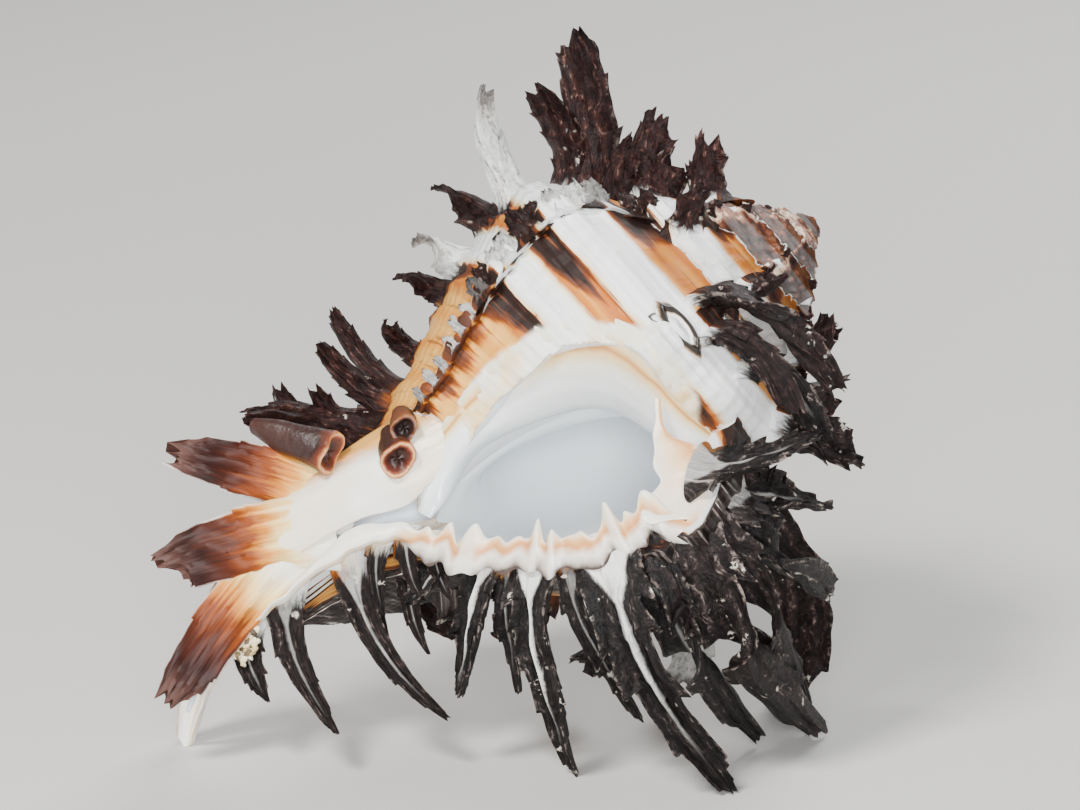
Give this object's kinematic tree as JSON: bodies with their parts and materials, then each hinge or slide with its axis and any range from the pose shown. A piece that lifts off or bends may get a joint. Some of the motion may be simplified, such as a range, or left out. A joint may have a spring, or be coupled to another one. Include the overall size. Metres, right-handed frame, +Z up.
{
  "type": "murex shell",
  "caption": "Spiny sea snail shell with a round mouth, a bent canal and leafy fronds along its varices, standing on the frond tips.",
  "frame": {"origin": "centre of the bounding box in plan, on the ground that the frond tips stand on", "axes": "+X runs from the canal tip to the apex side, seen from the mouth; +Y points away from the mouth side; +Z is up from the ground"},
  "size_m": [0.0866, 0.0746, 0.0854],
  "materials": {
    "shell": "satin porcelain white with brown bands and dark fronds"
  },
  "bodies": {
    "root": {"shell": "shell"}
  },
  "joints": []
}
